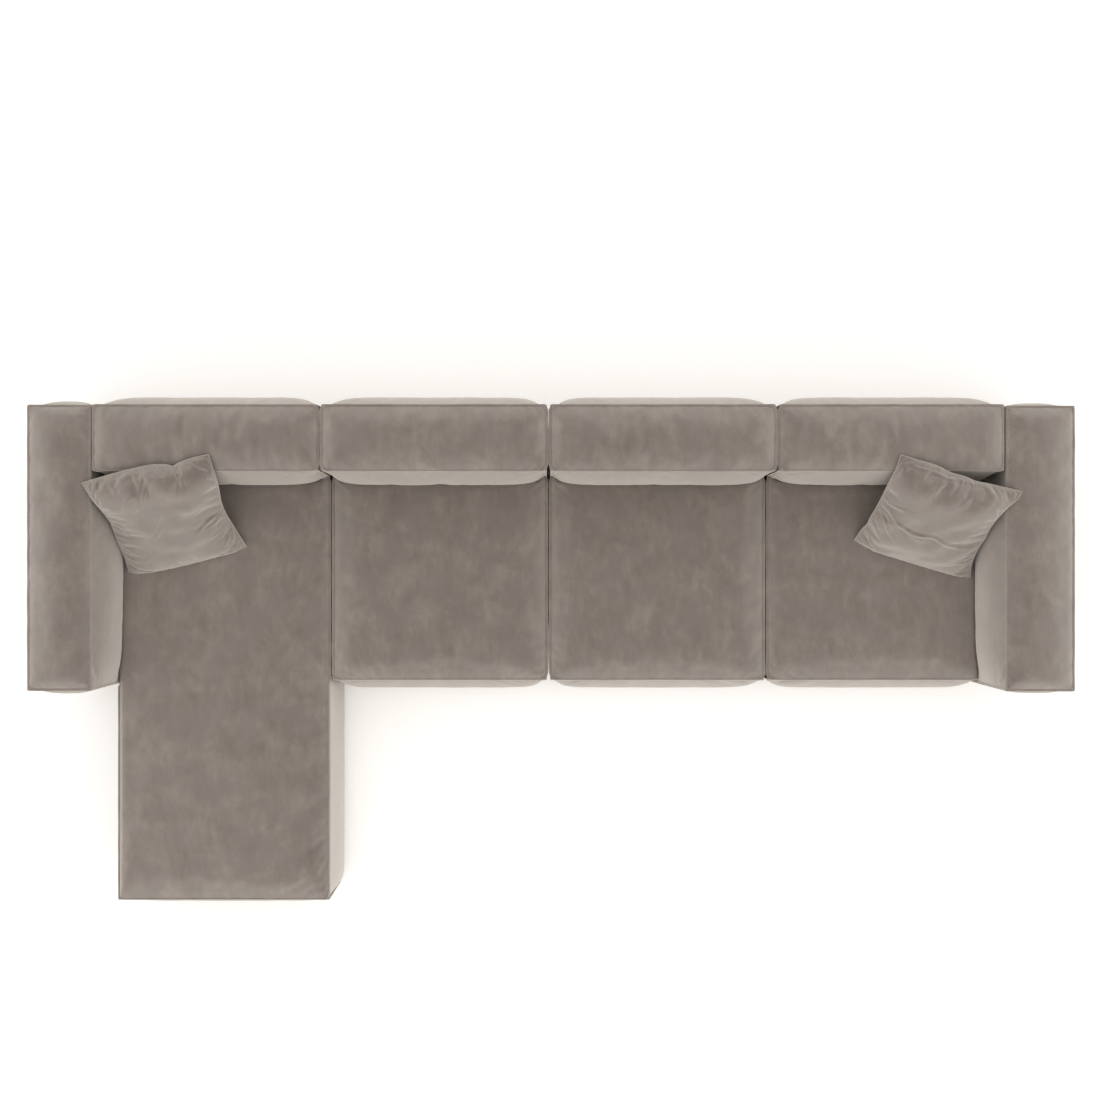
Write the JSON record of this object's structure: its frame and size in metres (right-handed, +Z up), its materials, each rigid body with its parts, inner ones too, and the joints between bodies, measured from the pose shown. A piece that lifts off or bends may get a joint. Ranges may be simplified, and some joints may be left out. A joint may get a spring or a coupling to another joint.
{
  "type": "modular sofa",
  "caption": "Low corner sofa of upholstered box modules with a chaise, back blocks and arm blocks that hook together and lift apart, and loose throw pillows.",
  "frame": {"origin": "on the floor, under the middle of the whole sofa's bounding box", "axes": "+X to the sofa's right seen from its front, +Y to its rear (the front faces -Y), +Z up"},
  "size_m": [4.206, 2.111, 0.7921],
  "materials": {
    "velvet": "taupe cotton velvet over wadding, matt with a bright sheen at grazing angles",
    "pillow_velvet": "the same velvet, a little lighter, over a soft filling",
    "foam": "cream polyurethane foam",
    "timber": "planed pine",
    "webbing": "elastic upholstery webbing",
    "steel": "zinc plated sheet",
    "plastic": "black moulded runner"
  },
  "bodies": {
    "chaise": {"chaise_cover": "velvet", "chaise_foam": "foam", "chaise_webbing": "webbing", "chaise_base_frame": "timber", "chaise_back_cover": "velvet", "chaise_back_foam": "foam", "chaise_back_frame": "timber", "chaise_skid_left": "plastic", "chaise_skid_right": "plastic", "chaise_socket_left": "steel", "chaise_socket_right": "steel"},
    "seat_2": {"seat_2_cover": "velvet", "seat_2_foam": "foam", "seat_2_webbing": "webbing", "seat_2_base_frame": "timber", "seat_2_back_cover": "velvet", "seat_2_back_foam": "foam", "seat_2_back_frame": "timber", "seat_2_skid_left": "plastic", "seat_2_skid_right": "plastic", "seat_2_hook_left": "steel", "seat_2_socket_right": "steel"},
    "seat_3": {"seat_3_cover": "velvet", "seat_3_foam": "foam", "seat_3_webbing": "webbing", "seat_3_base_frame": "timber", "seat_3_back_cover": "velvet", "seat_3_back_foam": "foam", "seat_3_back_frame": "timber", "seat_3_skid_left": "plastic", "seat_3_skid_right": "plastic", "seat_3_hook_left": "steel", "seat_3_socket_right": "steel"},
    "seat_4": {"seat_4_cover": "velvet", "seat_4_foam": "foam", "seat_4_webbing": "webbing", "seat_4_base_frame": "timber", "seat_4_back_cover": "velvet", "seat_4_back_foam": "foam", "seat_4_back_frame": "timber", "seat_4_skid_left": "plastic", "seat_4_skid_right": "plastic", "seat_4_hook_left": "steel", "seat_4_socket_right": "steel"},
    "arm_left": {"arm_left_cover": "velvet", "arm_left_foam": "foam", "arm_left_frame": "timber", "arm_left_skid_front": "plastic", "arm_left_skid_rear": "plastic", "arm_left_hook": "steel"},
    "arm_right": {"arm_right_cover": "velvet", "arm_right_foam": "foam", "arm_right_frame": "timber", "arm_right_skid_front": "plastic", "arm_right_skid_rear": "plastic", "arm_right_hook": "steel"},
    "left_throw_pillow": {"pillow_left": "pillow_velvet"},
    "right_throw_pillow": {"pillow_right": "pillow_velvet"}
  },
  "joints": [
    {"name": "seat_2_lift", "type": "slide", "parent": "chaise", "child": "seat_2", "axis": [0, 0, 1], "range_m": [0, 0.1]},
    {"name": "seat_3_lift", "type": "slide", "parent": "seat_2", "child": "seat_3", "axis": [0, 0, 1], "range_m": [0, 0.1]},
    {"name": "seat_4_lift", "type": "slide", "parent": "seat_3", "child": "seat_4", "axis": [0, 0, 1], "range_m": [0, 0.1]},
    {"name": "arm_left_lift", "type": "slide", "parent": "chaise", "child": "arm_left", "axis": [0, 0, 1], "range_m": [0, 0.1]},
    {"name": "arm_right_lift", "type": "slide", "parent": "seat_4", "child": "arm_right", "axis": [0, 0, 1], "range_m": [0, 0.1]},
    {"name": "pillow_left_lift", "type": "slide", "parent": "arm_left", "child": "left_throw_pillow", "axis": [0, 0, 1], "range_m": [0, 0.45]},
    {"name": "pillow_right_lift", "type": "slide", "parent": "arm_right", "child": "right_throw_pillow", "axis": [0, 0, 1], "range_m": [0, 0.45]}
  ]
}
